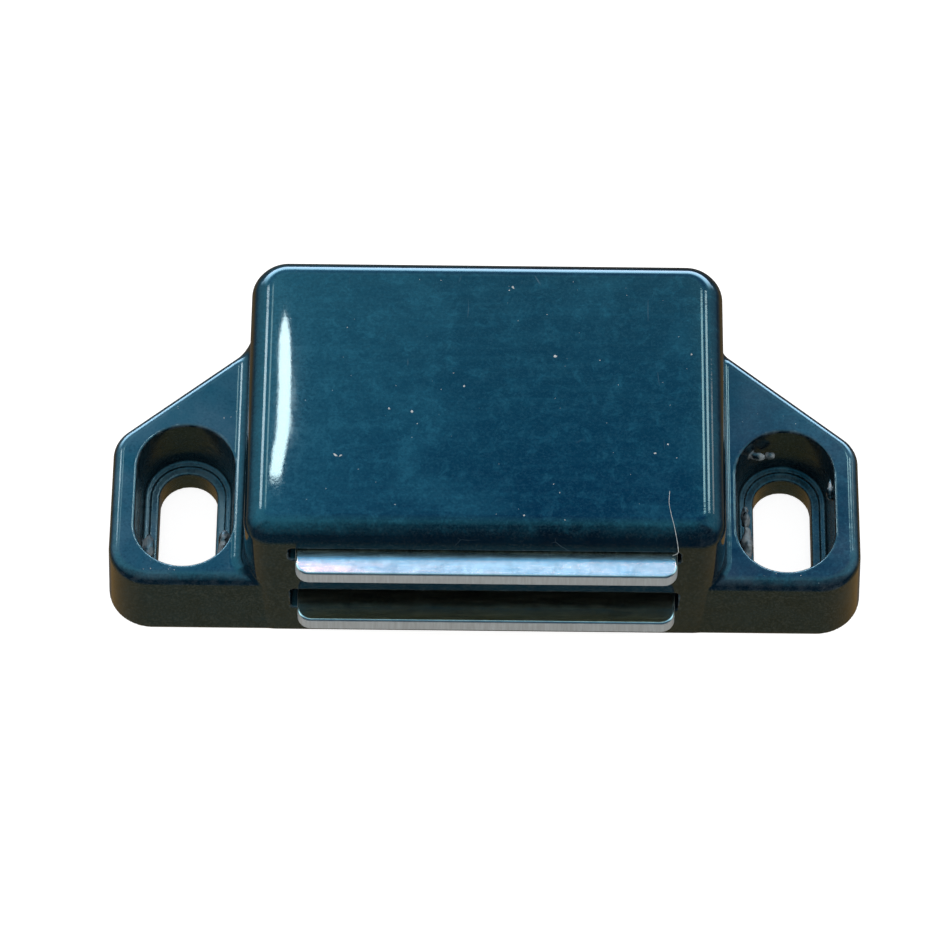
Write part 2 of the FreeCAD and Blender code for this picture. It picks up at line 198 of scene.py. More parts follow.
def new_material(name):
    m = bpy.data.materials.new(name)
    m.use_nodes = True
    net = Net(m.node_tree)
    out = net.t.nodes.new("ShaderNodeOutputMaterial")
    bsdf = net.t.nodes.new("ShaderNodeBsdfPrincipled")
    net.t.links.new(bsdf.outputs[0], out.inputs[0])
    co = net.t.nodes.new("ShaderNodeTexCoord").outputs["Object"]
    mm = net.vmath("SCALE", co, scale=1000.0)  # object coordinates in millimetres
    return m, net, bsdf, mm


def plastic():
    m, n, b, mm = new_material("housing_plastic")
    x, y, z = n.xyz(mm)
    nz = n.xyz(n.add("ShaderNodeNewGeometry").outputs["Normal"])[2]
    up = n.range(nz, 0.55, 0.97)
    attr = lambda name: n.add("ShaderNodeAttribute", attribute_name=name).outputs["Fac"]
    edge, torn, bowl = attr("edge"), attr("torn"), attr("bowl")

    # moulded gloss: long shallow waves, faint orange peel, a fine grain
    wave = n.noise(mm, 0.11, 1.5, 0.4)
    peel = n.noise(mm, 1.3, 2.0, 0.5)
    grain = n.noise(mm, 4.6, 3.0, 0.65)
    # handling haze: soft patches, streaks of a cloth, denser on the ears
    patch = n.noise(mm, 0.13, 4.0, 0.6, 0.7)
    streak_v = n.mapping(mm, (0.10, 1.3, 1.0), (0, 0, -0.85))
    streak = n.noise(n.vmath("ADD", streak_v, n.vmath("SCALE", n.noise(mm, 0.12, 1.0, 0.5, 0.0, 1), scale=0.8)), 1.0, 3.0, 0.6)
    ears = n.math("MULTIPLY", n.range(z, 7.6, 6.8), up)
    left = n.range(x, 4.0, -17.0)
    blot = n.noise(mm, 0.85, 6.0, 0.74, 0.6)
    haze = n.math("ADD", n.math("MULTIPLY", n.range(patch, 0.50, 0.80), 0.7), n.math("MULTIPLY", n.range(streak, 0.50, 0.80), 0.35))
    haze = n.math("ADD", haze, n.math("MULTIPLY", n.range(blot, 0.50, 0.76), 0.85))
    haze = n.math("ADD", haze, n.math("MULTIPLY", ears, 0.22))
    # this term raises the haze mix towards the left (-x), lightening the left of the cap
    haze = n.math("ADD", haze, n.math("MULTIPLY", n.math("POWER", left, 1.6), 0.72))
    haze = n.math("MULTIPLY", haze, n.range(grain, 0.25, 0.75, 0.45, 1.55))
    haze = n.math("MULTIPLY", haze, n.lerp(up, 0.06, 1.0), clamp=True)
    # hairline scratches, few and long
    scr = None
    for ang, sc, cut_, seed, lo in ((0.9, 0.16, 0.0035, 3.1, 0.68), (2.15, 0.13, 0.003, 9.7, 0.69), (0.35, 0.22, 0.003, 17.3, 0.70)):
        v = n.mapping(mm, (sc, sc * 0.10, sc), (0, 0, ang), (seed, seed * 2, 0))
        v = n.vmath("ADD", v, n.vmath("SCALE", n.noise(mm, 0.12, 1.0, 0.5, 0.0, 1), scale=0.25))
        d = n.voronoi(v, 1.0, "DISTANCE_TO_EDGE")
        where = n.range(n.noise(n.mapping(mm, (1, 1, 1), (0, 0, 0), (seed, 0, 0)), 0.22, 2.0), lo, lo + 0.06)
        line = n.math("MULTIPLY", n.range(d, cut_, cut_ * 0.3, 0.0, 1.0), where)
        scr = line if scr is None else n.math("MAXIMUM", scr, line)
    # settled dust
    fine_d = n.voronoi(mm, 1.9)
    fr = n.xyz(n.voronoi(mm, 1.9, out="Color"))[0]
    dust = n.math("MULTIPLY", n.range(n.math("SUBTRACT", n.range(fr, 0.90, 1.0, 0.0, 0.10), fine_d), 0.0, 0.03), up)
    # rubbed edges and stress-whitened tears
    rub = n.math("MULTIPLY", n.range(edge, 0.22, 0.9), n.range(n.noise(mm, 1.1, 4.0, 0.7), 0.45, 0.62))
    tear = n.math("MULTIPLY", torn, n.range(n.noise(mm, 1.3, 2.0, 0.6), 0.40, 0.60))

    tone = n.range(n.noise(mm, 0.5, 3.0), 0.35, 0.7)
    base = n.mix(tone, (0.0005, 0.0032, 0.0070), (0.0010, 0.0055, 0.0105))
    # painted reflection: a speckle of brownish grey on the side faces stands in for the ground they mirror, and a
    # speckle of teal on the up faces stands in for the sky they mirror
    painted_reflection_speck = n.noise(mm, 5.5, 2.0, 0.7)
    base = n.mix(n.math("MULTIPLY", n.range(painted_reflection_speck, 0.46, 0.68), n.math("ADD", n.range(nz, 0.35, 0.10, 0.10, 0.34), n.math("MULTIPLY", up, 0.26))), base, n.mix(up, (0.050, 0.052, 0.046), (0.018, 0.055, 0.075)))
    base = n.mix(n.math("MULTIPLY", haze, 0.34), base, (0.026, 0.150, 0.215))
    film = n.math("MULTIPLY", ears, n.range(n.noise(mm, 0.16, 3.0, 0.6, 0.5, 0), 0.34, 0.72))
    # the film is also stronger towards the left (-x), lightening the left ear
    base = n.mix(n.math("MULTIPLY", film, n.math("MULTIPLY", n.range(grain, 0.25, 0.75, 0.18, 0.36), n.range(x, 6.0, -6.0, 0.6, 1.0))), base, (0.20, 0.27, 0.34))
    scuff = n.math("MULTIPLY", bowl, n.range(n.noise(n.mapping(mm, (0.8, 0.8, 2.2)), 1.0, 5.0, 0.7), 0.42, 0.66))
    base = n.mix(n.math("MULTIPLY", scuff, n.lerp(up, 0.03, 0.42)), base, (0.10, 0.17, 0.20))
    base = n.mix(n.math("MULTIPLY", scr, 0.30), base, (0.16, 0.21, 0.24))
    base = n.mix(n.math("MULTIPLY", rub, 0.28), base, (0.14, 0.17, 0.19))
    base = n.mix(n.math("MULTIPLY", dust, 0.55), base, (0.30, 0.34, 0.36))
    base = n.mix(n.math("MULTIPLY", tear, 0.62), base, (0.42, 0.46, 0.48))
    n.put(b.inputs["Base Color"], base)
    rough = n.math("ADD", n.lerp(haze, 0.030, 0.075), n.math("MULTIPLY", n.math("SUBTRACT", grain, 0.5), 0.03))
    rough = n.math("ADD", rough, n.math("MULTIPLY", n.math("ADD", scr, rub), 0.22))
    rough = n.math("ADD", rough, n.math("MULTIPLY", n.math("MAXIMUM", dust, tear), 0.45))
    rough = n.math("ADD", rough, n.math("MULTIPLY", n.math("ADD", bowl, scuff), 0.17))
    n.put(b.inputs["Roughness"], n.math("MAXIMUM", rough, 0.022))
    b.inputs["IOR"].default_value = 1.5
    b.inputs["Specular Tint"].default_value = (0.20, 0.94, 1.0, 1)
    nrm = n.bump(wave, 0.00006, 0.35)
    nrm = n.bump(peel, 0.000008, 0.3, nrm)
    nrm = n.bump(grain, 0.0000012, 0.6, nrm)
    nrm = n.bump(n.math("ADD", scr, n.math("MULTIPLY", tear, -2.0)), 0.00001, -0.6, nrm)
    n.put(b.inputs["Normal"], nrm)
    return m


def steel():
    m, n, b, mm = new_material("plated_steel")
    geo = n.add("ShaderNodeNewGeometry")
    nx, ny, nz = n.xyz(geo.outputs["Normal"])
    edge = n.range(n.math("ABSOLUTE", nz), 0.55, 0.2, 0.0, 1.0)
    roll = n.noise(n.mapping(mm, (0.35, 3.2, 3.2)), 1.0, 3.0, 0.6)
    spangle = n.noise(mm, 0.8, 4.0, 0.65, 0.3)
    fine = n.noise(mm, 9.0, 2.0, 0.6)
    stri = n.noise(n.mapping(mm, (5.0, 5.0, 0.35)), 1.0, 3.0, 0.65)
    col = n.mix(n.range(spangle, 0.35, 0.68), (0.84, 0.90, 0.68), (0.60, 0.66, 0.52))
    col = n.mix(edge, col, n.mix(n.range(stri, 0.3, 0.7), (0.34, 0.38, 0.40), (0.46, 0.52, 0.54)))
    n.put(b.inputs["Base Color"], col)
    n.put(b.inputs["Metallic"], n.lerp(edge, 1.0, 0.55))
    rough = n.lerp(n.range(roll, 0.3, 0.7), 0.17, 0.27)
    n.put(b.inputs["Roughness"], n.lerp(edge, rough, n.lerp(stri, 0.42, 0.62)))
    nrm = n.bump(roll, 0.00001, 0.5)
    nrm = n.bump(fine, 0.000004, 0.6, nrm)
    nrm = n.bump(n.math("MULTIPLY", stri, edge), 0.00003, 0.6, nrm)
    n.put(b.inputs["Normal"], nrm)
    return m


def ferrite():
    m, n, b, mm = new_material("ferrite")
    grain = n.noise(mm, 4.0, 4.0, 0.7)
    pits = n.voronoi(mm, 2.2)
    pit = n.range(pits, 0.22, 0.10, 0.0, 1.0)
    grind = n.noise(n.mapping(mm, (0.15, 4.0, 4.0)), 1.0, 2.0, 0.6)
    col = n.mix(n.range(grain, 0.35, 0.7), (0.030, 0.030, 0.033), (0.075, 0.074, 0.078))
    # painted shade: the pits are darkened in colour
    n.put(b.inputs["Base Color"], n.mix(pit, col, (0.012, 0.012, 0.013)))
    n.put(b.inputs["Roughness"], n.lerp(grind, 0.45, 0.7))
    b.inputs["Metallic"].default_value = 0.2
    nrm = n.bump(grain, 0.00004, 0.5)
    nrm = n.bump(n.math("MULTIPLY", pit, -1.0), 0.00006, 0.6, nrm)
    nrm = n.bump(grind, 0.00001, 0.5, nrm)
    n.put(b.inputs["Normal"], nrm)
    return m


def cover_plastic():
    m, n, b, mm = new_material("cover_plastic")
    spark = n.noise(mm, 5.0, 3.0, 0.65)
    cell = n.voronoi(mm, 4.0, "SMOOTH_F1")
    rub = n.range(n.noise(mm, 0.12, 3.0, 0.6, 0.5), 0.48, 0.66, 0.0, 1.0, "SMOOTHSTEP")
    col = n.mix(n.range(spark, 0.3, 0.7), (0.006, 0.008, 0.011), (0.016, 0.019, 0.023))
    n.put(b.inputs["Base Color"], n.mix(n.math("MULTIPLY", rub, 0.4), col, (0.03, 0.033, 0.036)))
    n.put(b.inputs["Roughness"], n.lerp(rub, 0.52, 0.34))
    nrm = n.bump(cell, 0.00004, 0.45)
    nrm = n.bump(spark, 0.00003, 0.4, nrm)
    n.put(b.inputs["Normal"], nrm)
    return m


MATS = {
    "housing": plastic(),
    "base_cover": cover_plastic(),
    "upper_pole_plate": steel(),
    "magnet_block": ferrite(),
}
MATS["lower_pole_plate"] = MATS["upper_pole_plate"]
for name, o in NODES.items():
    o.data.materials.clear()
    o.data.materials.append(MATS[name])

def mesh_object(name, verts, faces, smooth=False):
    me = bpy.data.meshes.new(name)
    me.from_pydata([tuple(map(float, v)) for v in verts], [], faces)
    me.update()
    ob = bpy.data.objects.new(name, me)
    scene.collection.objects.link(ob)
    for p in me.polygons:
        p.use_smooth = smooth
    return ob


# ------------------------------------------------------------------ housing surface
# The moulding as one closed surface: the CAD sizes, plus the small radii, steps, pin marks and burrs a real one has.
# Lengths in millimetres, y from the front wall.
TAN = lambda deg: math.tan(math.radians(deg))


def convex(x, y, poly, radii):
    """Distance to a convex outline whose corners are rounded."""
    poly = np.array(poly, np.float64)
    k = len(poly)
    d = None
    for i in range(k):
        a, b = poly[i], poly[(i + 1) % k]
        e = (b - a) / np.linalg.norm(b - a)
        s = (x - float(a[0])) * float(e[1]) - (y - float(a[1])) * float(e[0])
        d = s if d is None else np.maximum(d, s)
    for i in range(k):
        v, a, b = poly[i], poly[i - 1], poly[(i + 1) % k]
        e0 = (v - a) / np.linalg.norm(v - a)
        e1 = (b - v) / np.linalg.norm(b - v)
        half = math.acos(np.clip(np.dot(-e0, e1), -1, 1)) / 2
        mid = (e1 - e0) / np.linalg.norm(e1 - e0)
        c = v + mid * radii[i] / math.sin(half)
        px, py = x - float(c[0]), y - float(c[1])
        cone = (px * float(e0[0]) + py * float(e0[1]) > 0) & (px * float(e1[0]) + py * float(e1[1]) < 0)
        d = np.where(cone, np.hypot(px, py) - radii[i], d)
    return d


def block(x, y, x0, x1, y0, y1, r):
    return convex(x, y, [(x0, y0), (x1, y0), (x1, y1), (x0, y1)], [r] * 4 if np.isscalar(r) else r)


def both(a, b, r):
    """Intersection with a rounded edge."""
    return np.minimum(-r, np.maximum(a, b)) + np.hypot(np.maximum(r + a, 0), np.maximum(r + b, 0))


def join(a, b, r):
    return np.maximum(r, np.minimum(a, b)) - np.hypot(np.maximum(r - a, 0), np.maximum(r - b, 0))


def cut(a, b, r):
    return both(a, -b, r)


def stadium(x, y, cx, cy, half_run, radius):
    return np.hypot(x - cx, np.maximum(np.abs(y - cy) - half_run, 0)) - radius


_rng = np.random.default_rng(4)
_lattice = _rng.uniform(-1, 1, (32, 32, 32)).astype(np.float32)


def lump(x, y, z, size):
    """Smooth random field, about -1 to 1, with features of the given size."""
    out = 0
    fx, fy, fz = x / size + 100, y / size + 100, z / size + 100
    ix, iy, iz = (np.floor(f).astype(int) for f in (fx, fy, fz))
    tx, ty, tz = fx - ix, fy - iy, fz - iz
    tx, ty, tz = (t * t * (3 - 2 * t) for t in (tx, ty, tz))
    for a in (0, 1):
        for b in (0, 1):
            for c in (0, 1):
                w = (tx if a else 1 - tx) * (ty if b else 1 - ty) * (tz if c else 1 - tz)
                out = out + w * _lattice[(ix + a) % 32, (iy + b) % 32, (iz + c) % 32]
    return out


SLOT_X, SLOT_Y, RUN = 23.85, 8.15, 2.65
# burrs and nicks in the head recesses: centre, radii
BURRS = [
    ((-20.75, 5.2, 4.4), (0.55, 1.5, 1.1)), ((-20.6, 3.9, 4.2), (0.5, 0.9, 0.9)),
    ((20.9, 6.2, 3.6), (0.55, 1.6, 0.9)), ((20.8, 8.4, 3.9), (0.35, 1.0, 0.8)),
    ((21.8, 13.4, 5.3), (0.8, 0.35, 0.45)), ((22.8, 13.75, 4.8), (0.5, 0.3, 0.4)),
    ((27.45, 9.6, 6.4), (0.3, 1.0, 0.55)), ((-26.9, 6.0, 2.6), (0.6, 1.3, 0.35)),
    ((26.2, 4.0, 2.6), (0.9, 0.8, 0.35)),
]


def burr_field(x, y, z):
    """Below 0 inside the torn plastic left round the recesses."""
    d = None
    for (cx, cy, cz), (rx, ry, rz) in BURRS:
        q = np.sqrt(((x - cx) / rx) ** 2 + ((y - cy) / ry) ** 2 + ((z - cz) / rz) ** 2)
        s = (q - 1) * min(rx, ry, rz)
        d = s if d is None else np.minimum(d, s)
    return d + 0.06 + 0.15 * lump(x, y, z, 0.62) + 0.03 * lump(x + 7, y, z, 0.25)


def crown(x, y):
    """The cap's top falls off a few hundredths of a millimetre towards its long edges."""
    s = np.maximum(np.abs(x) - 15.35, 0)
    return np.minimum(0.018 * s * s, 0.12)


def housing_distance(x, y, z):
    ears = convex(
        x, y,
        [(-30, 0), (30, 0), (30, 13.6), (17.95, 23.8), (-17.95, 23.8), (-30, 13.6)],
        [3.6, 3.6, 3.2, 1.0, 1.0, 3.2],
    ) + z * TAN(2.5)
    ears = both(ears, z - 7.0, 0.9)
    cap = block(x, y, -18.95, 18.95, -0.05, 26.35, [2.4, 2.4, 3.0, 3.0]) + z * TAN(0.6)
    cap = both(cap, z - 14.45 + crown(x, y), 1.8)
    s = np.clip((y - 0.1) / 1.4, 0, 1)
    foot = 0.02 + np.where(x < 0, 1.2, 0.62) * s * s * (3 - 2 * s)
    d = join(ears, cap, foot)
    d = both(d, -z, 0.12)

    # screw slots in their tapered recesses
    ax = np.abs(x)
    near = stadium(ax, y, SLOT_X, SLOT_Y, RUN, 0.0)
    recess = both(near - (3.505 + (z - 2.3) * TAN(4.5)), 2.3 - z, 0.22)
    d = cut(d, recess, 0.2)
    step = both(near - 3.02, 2.12 - z, 0.1)
    d = cut(d, step, 0.08)
    d = cut(d, near - 2.325, 0.13)
    # torn plastic inside the recesses only
    torn = np.maximum(np.maximum(burr_field(x, y, z), near - 3.95), -(near - 2.3))
    torn = np.maximum(torn, z - 7.02)
    torn = np.where(near < 4.4, torn, 1.0)
    d = np.minimum(d, torn)

    # hollow, seat of the cover, windows
    hollow = both(block(x, y, -17.1, 17.1, 1.75, 24.1, 1.0), z - 12.3, 0.35)
    d = cut(d, hollow, 0.12)
    seat = both(block(x, y, -17.7, 17.7, 1.15, 24.7, 1.0), z - 1.6, 0.05)
    d = cut(d, seat, 0.1)
    for z0, z1 in ((3.45, 6.1), (10.55, 12.1)):
        win = np.maximum(block(x, z, -15.3, 15.3, z0, z1, 0.4), y - 2.35)
        d = cut(d, win, 0.14)

    # snap pockets, core pockets under the ears, pin marks, gate
    for mid in (6.5, 18.5):
        snap = np.maximum(np.maximum(ax - 17.55, 16.5 - ax), np.maximum(np.abs(y - mid) - 1.6, np.abs(z - 2.25) - 0.5))
        d = cut(d, snap, 0.04)
    core = convex(ax, y, [(19.65, 16.4), (24.25, 16.4), (19.65, 20.3)], [0.4, 0.4, 0.4])
    d = cut(d, both(core, z - 5.2, 0.3), 0.1)
    for cx, cy in ((27.3, 2.7), (21.2, 1.9)):
        d = cut(d, np.maximum(np.hypot(ax - cx, y - cy) - 1.0, z - 0.12), 0.05)
    gate = np.maximum(np.hypot(x, z - 4.2) - 1.5, 26.12 - y)
    d = cut(d, gate, 0.12)
    nub = np.maximum(np.hypot(x - 0.1, z - 4.15) - 0.55 + 0.12 * lump(x, y, z, 0.35), y - 26.26)
    nub = np.maximum(nub, 25.6 - y)
    d = np.minimum(d, nub)
    return d


def surface(f, lo, hi, h):
    """Closed mesh of f = 0 by surface nets, with every vertex then moved onto f = 0."""
    n = [int(math.ceil((b - a) / h)) + 1 for a, b in zip(lo, hi)]
    ax = [(lo[i] + h * np.arange(n[i])).astype(np.float32) for i in range(3)]
    F = np.empty(n, np.float32)
    for k in range(0, n[0], 24):
        X, Y, Z = np.meshgrid(ax[0][k:k + 24], ax[1], ax[2], indexing="ij")
        F[k:k + 24] = f(X, Y, Z)
    S = F < 0
    c = [S[i:n[0] - 1 + i, j:n[1] - 1 + j, k:n[2] - 1 + k] for i in (0, 1) for j in (0, 1) for k in (0, 1)]
    cnt = sum(a.astype(np.int8) for a in c)
    cells = np.argwhere((cnt > 0) & (cnt < 8))
    ident = np.full([m - 1 for m in n], -1, np.int64)
    ident[tuple(cells.T)] = np.arange(len(cells))
    corner = np.array([(i, j, k) for i in (0, 1) for j in (0, 1) for k in (0, 1)])
    val = np.stack([F[tuple((cells + o).T)] for o in corner], 1).astype(np.float64)
    acc = np.zeros((len(cells), 3))
    num = np.zeros(len(cells))
    for a in range(8):
        for b in range(a + 1, 8):
            if np.abs(corner[a] - corner[b]).sum() == 1:
                m = (val[:, a] < 0) != (val[:, b] < 0)
                t = np.where(m, val[:, a] / np.where(m, val[:, a] - val[:, b], 1), 0)
                acc += np.where(m[:, None], corner[a] + t[:, None] * (corner[b] - corner[a]), 0)
                num += m
    P = np.array(lo) + h * (cells + acc / num[:, None])

    def grad(P, e=0.004):
        g = np.empty_like(P)
        for i in range(3):
            o = np.zeros(3)
            o[i] = e
            g[:, i] = (f(*(P + o).T) - f(*(P - o).T)) / (2 * e)
        return g

    for _ in range(3):
        g = grad(P)
        d = f(*P.T)
        g2 = np.maximum((g * g).sum(1), 0.25)
        P = P - np.clip(d / g2, -h, h)[:, None] * g
    quads = []
    for axis in range(3):
        u, v = (axis + 1) % 3, (axis + 2) % 3
        sl0 = [slice(None)] * 3
        sl1 = [slice(None)] * 3
        sl0[axis] = slice(0, n[axis] - 1)
        sl1[axis] = slice(1, n[axis])
        A, B = S[tuple(sl0)], S[tuple(sl1)]
        e = np.argwhere(A != B)
        e = e[(e[:, u] > 0) & (e[:, v] > 0) & (e[:, u] < n[u] - 1) & (e[:, v] < n[v] - 1)]
        inside = A[tuple(e.T)]
        q = []
        for du, dv in ((-1, -1), (0, -1), (0, 0), (-1, 0)):
            o = e.copy()
            o[:, u] += du
            o[:, v] += dv
            q.append(ident[tuple(o.T)])
        q = np.stack(q, 1)
        q[~inside] = q[~inside][:, ::-1]
        quads.append(q)
    return P, np.concatenate(quads), grad


FINE = 0.16
OFF = LO.y / MM + 0.05  # front wall of the cap, in the frame's own y
points, quads, gradient = surface(housing_distance, (-30.31, -0.37, -0.33), (30.35, 26.65, 14.83), FINE)


def to_frame(p):
    q = np.array(p, float)
    q[:, 1] += OFF
    return q * MM


def raw_mesh(name, verts, polys):
    """polys is an array of quads or triangles."""
    me = bpy.data.meshes.new(name)
    k = polys.shape[1]
    me.vertices.add(len(verts))
    me.vertices.foreach_set("co", np.ascontiguousarray(verts, np.float32).ravel())
    me.loops.add(polys.size)
    me.loops.foreach_set("vertex_index", np.ascontiguousarray(polys, np.int32).ravel())
    me.polygons.add(len(polys))
    me.polygons.foreach_set("loop_start", np.arange(0, polys.size, k, dtype=np.int32))
    me.update(calc_edges=True)
    me.validate()
    return me


def link(name, me):
    ob = bpy.data.objects.new(name, me)
    scene.collection.objects.link(ob)
    return ob


shell = link("housing_shell", raw_mesh("housing_shell", to_frame(points), quads))
# flat areas need few faces: thin them out, then put every vertex back on the surface
mod = shell.modifiers.new("thin", "DECIMATE")
mod.ratio = 0.30
thin = bpy.data.meshes.new_from_object(shell.evaluated_get(bpy.context.evaluated_depsgraph_get()))
shell.modifiers.clear()
shell.data = thin
me = shell.data
co = np.empty(len(me.vertices) * 3, np.float32)
me.vertices.foreach_get("co", co)
P = co.reshape(-1, 3).astype(float) / MM
P[:, 1] -= OFF
for _ in range(2):
    g = gradient(P)
    P -= np.clip(housing_distance(*P.T) / np.maximum((g * g).sum(1), 0.25), -0.05, 0.05)[:, None] * g
me.vertices.foreach_set("co", to_frame(P).astype(np.float32).ravel())
g = gradient(P)
g /= np.maximum(np.linalg.norm(g, axis=1), 1e-6)[:, None]
me.polygons.foreach_set("use_smooth", np.ones(len(me.polygons), bool))
me.update()
me.normals_split_custom_set_from_vertices(g.tolist())
e = 0.09
curve = sum(
    housing_distance(*(P + o).T) + housing_distance(*(P - o).T) for o in np.eye(3) * e
) - 6 * housing_distance(*P.T)
curve = np.clip(curve / (e * e), -6, 6)
near = stadium(np.abs(P[:, 0]), P[:, 1], SLOT_X, SLOT_Y, RUN, 0.0)
torn = np.clip(1 - burr_field(*P.T) / 0.12, 0, 1) * (near > 2.34) * (near < 4.0) * (P[:, 2] < 7.05)
bowl = np.clip((3.96 - near) / 0.25, 0, 1) * np.clip((6.95 - P[:, 2]) / 0.3, 0, 1)
for label, field in (("edge", np.clip(curve / 3, -1, 1)), ("torn", torn), ("bowl", bowl)):
    me.attributes.new(label, "FLOAT", "POINT").data.foreach_set("value", field.astype(np.float32))
me.materials.append(MATS["housing"])
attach(shell, "case")
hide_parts("housing")


# ------------------------------------------------------------------ dust flakes and a fibre of lint
def flakes(name, places, mat):
    verts, faces = [], []
    r = np.random.default_rng(11)
    for x, y, z, size, turn, stretch in places:
        k = 9
        base = len(verts)
        c, s_ = math.cos(turn), math.sin(turn)
        ring = []
        for i in range(k):
            a = 2 * math.pi * i / k
            rad = size * r.uniform(0.55, 1.0)
            u, v = rad * math.cos(a) * stretch, rad * math.sin(a)
            ring.append((u * c - v * s_, u * s_ + v * c))
        for lift, shrink in ((-0.004, 1.0), (size * 0.14, 0.82)):
            for u, v in ring:
                verts.append((x + u * shrink, y + v * shrink, z + lift + (size * 0.08 * r.uniform(-1, 1) if lift > 0 else 0)))
        verts.append((x, y, z + size * 0.28))
        verts.append((x, y, z - 0.004))
        for i in range(k):
            j = (i + 1) % k
            faces.append((base + i, base + j, base + k + j, base + k + i))
            faces.append((base + k + i, base + k + j, base + 2 * k))
            faces.append((base + j, base + i, base + 2 * k + 1))
    ob = mesh_object(name, to_frame(verts), faces, smooth=True)
    ob.data.materials.append(mat)
    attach(ob, "case")
    return ob


def dust_material():
    m, n, b, mm = new_material("dust")
    tone = n.noise(mm, 5.0, 3.0)
    n.put(b.inputs["Base Color"], n.mix(n.range(tone, 0.3, 0.7), (0.30, 0.33, 0.34), (0.62, 0.66, 0.67)))
    b.inputs["Roughness"].default_value = 0.9
    b.inputs["Specular IOR Level"].default_value = 0.2
    n.put(b.inputs["Normal"], n.bump(n.noise(mm, 20.0, 3.0), 0.00002, 0.6))
    return m


DUST = dust_material()
T = 14.45  # top of the visible cap; the dust on it stays under the full height
marks = [
    (2.04, 23.29, T, 0.13, 2.0, 1.5), (1.75, 23.0, T, 0.07, 0.4, 1.2), (5.4, 16.75, T, 0.16, 0.3, 1.3), (-1.76, 13.83, T, 0.12, 1.2, 1.2),
    (-7.63, 11.69, T, 0.12, 2.2, 1.3), (-5.82, 11.43, T, 0.13, 0.9, 1.2), (-11.75, 7.3, T, 0.13, 2.4, 2.0), (-11.35, 7.25, T, 0.10, 0.8, 2.0),
    (13.24, 7.76, T, 0.11, 0.0, 1.2), (14.26, 8.61, T, 0.09, 1.5, 1.2), (3.03, 1.94, T, 0.10, 0.5, 1.0), (16.2, 17.07, T - 0.005, 0.10, 1.1, 1.2),
    (8.96, 16.41, T, 0.07, 0.0, 1.2), (-3.71, 23.89, T, 0.06, 0.0, 1.2), (21.09, 7.27, 2.5, 0.2, 0.6, 1.2),
]
r = np.random.default_rng(23)
for _ in range(46):
    marks.append((r.uniform(-16, 16), r.uniform(1.2, 24.0), T, r.uniform(0.018, 0.045), r.uniform(0, 3.1), r.uniform(1, 2.2)))
for _ in range(22):
    side = r.choice([-1, 1])
    marks.append((side * r.uniform(19.8, 28.4), r.choice([r.uniform(0.9, 1.4), r.uniform(15.2, 16.5)]), 7.0, r.uniform(0.02, 0.05), r.uniform(0, 3.1), r.uniform(1, 2.2)))
marks = [m for m in marks if m[2] > 7.5 or m[2] < 3 or abs(m[0]) < 26.5 or m[1] < 13]
flakes("dust_flakes", marks, DUST)


def fibre(name, route, radius, mat):
    """A hair-thin closed tube through the points of a smooth curve."""
    route = np.array(route, float)
    t = np.linspace(0, len(route) - 1, 12 * len(route))
    k = np.clip(t.astype(int), 0, len(route) - 2)
    f = (t - k)[:, None]
    g4 = [route[np.clip(k + o, 0, len(route) - 1)] for o in (-1, 0, 1, 2)]
    line = 0.5 * (2 * g4[1] + (g4[2] - g4[0]) * f + (2 * g4[0] - 5 * g4[1] + 4 * g4[2] - g4[3]) * f ** 2 + (3 * g4[1] - g4[0] - 3 * g4[2] + g4[3]) * f ** 3)
    verts, faces, m = [], [], 6
    for i, p in enumerate(line):
        d = line[min(i + 1, len(line) - 1)] - line[max(i - 1, 0)]
        d /= np.linalg.norm(d)
        a = np.cross(d, (0.3, 0.2, 1.0)); a /= np.linalg.norm(a)
        b = np.cross(d, a)
        w = radius * (0.55 if i in (0, len(line) - 1) else 1.0)
        for j in range(m):
            an = 2 * math.pi * j / m
            verts.append(p + w * (math.cos(an) * a + math.sin(an) * b))
        if i:
            o = (i - 1) * m
            for j in range(m):
                faces.append((o + j, o + (j + 1) % m, o + m + (j + 1) % m, o + m + j))
    faces.append(tuple(range(m))[::-1])
    faces.append(tuple(range(len(verts) - m, len(verts))))
    ob = mesh_object(name, to_frame(verts), faces, smooth=True)
    ob.data.materials.append(mat)
    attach(ob, "case")
    return ob


fibre("lint_fibre", [(14.36, 4.3, 14.475), (14.3, 3.2, 14.475), (14.45, 2.2, 14.47), (14.68, 1.2, 14.35), (14.86, 0.45, 13.9), (15.0, -0.02, 13.2), (15.02, -0.2, 12.6), (14.6, -0.22, 12.2)], 0.022, DUST)


# ------------------------------------------------------------------ floor and light
floor = mesh_object("floor", [(-3, -3, 0), (3, -3, 0), (3, 3, 0), (-3, 3, 0)], [(0, 1, 2, 3)])
floor.location.z = -0.00002
fm = bpy.data.materials.new("floor_paper")
fm.use_nodes = True
fm.node_tree.nodes["Principled BSDF"].inputs["Base Color"].default_value = (0.5, 0.5, 0.5, 1)
fm.node_tree.nodes["Principled BSDF"].inputs["Roughness"].default_value = 0.9
fm.node_tree.nodes["Principled BSDF"].inputs["Specular IOR Level"].default_value = 0.0
fm.node_tree.nodes["Principled BSDF"].inputs["Emission Color"].default_value = (1, 1, 1, 1)
fm.node_tree.nodes["Principled BSDF"].inputs["Emission Strength"].default_value = 0.84
floor.data.materials.append(fm)
floor.visible_glossy = False


